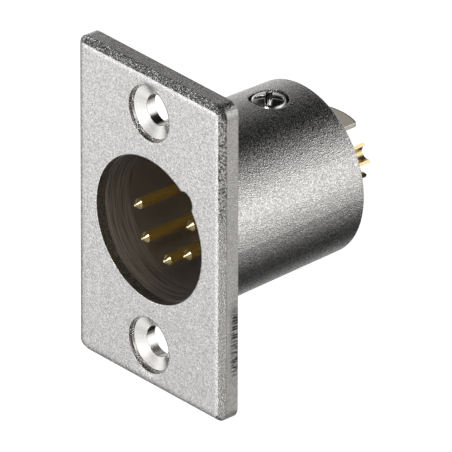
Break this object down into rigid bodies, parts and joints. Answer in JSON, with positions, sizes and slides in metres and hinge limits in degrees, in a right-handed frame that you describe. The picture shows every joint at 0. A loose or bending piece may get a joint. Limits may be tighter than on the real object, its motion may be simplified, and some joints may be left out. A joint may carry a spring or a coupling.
{
  "type": "xlr panel receptacle",
  "caption": "Male panel receptacle for audio: cast nickel flange and round barrel with a keyed bore, gold contact pins, rear solder cups, ground lug and lock screw.",
  "frame": {"origin": "where the socket axis meets the flange's back face, midway between the fixing holes", "axes": "+Y along the socket axis towards the solder cups, +Z along the flange's long side towards the lock screw, the mating side faces -Y"},
  "size_m": [0.0238, 0.028, 0.0384],
  "materials": {
    "nickel_casting": "satin pearl nickel on a blasted zinc casting",
    "black_moulding": "fine matte moulding",
    "nickel_strip": "matte nickel on sheet brass",
    "nickel_screw": "bright nickel",
    "gold_contact": "thin gold plate, satin"
  },
  "bodies": {
    "root": {"shell": "nickel_casting", "insulator": "black_moulding", "ground_lug": "nickel_strip", "lock_screw": "nickel_screw", "contact_1": "gold_contact", "contact_2": "gold_contact", "contact_3": "gold_contact", "contact_4": "gold_contact", "contact_5": "gold_contact"}
  },
  "joints": []
}
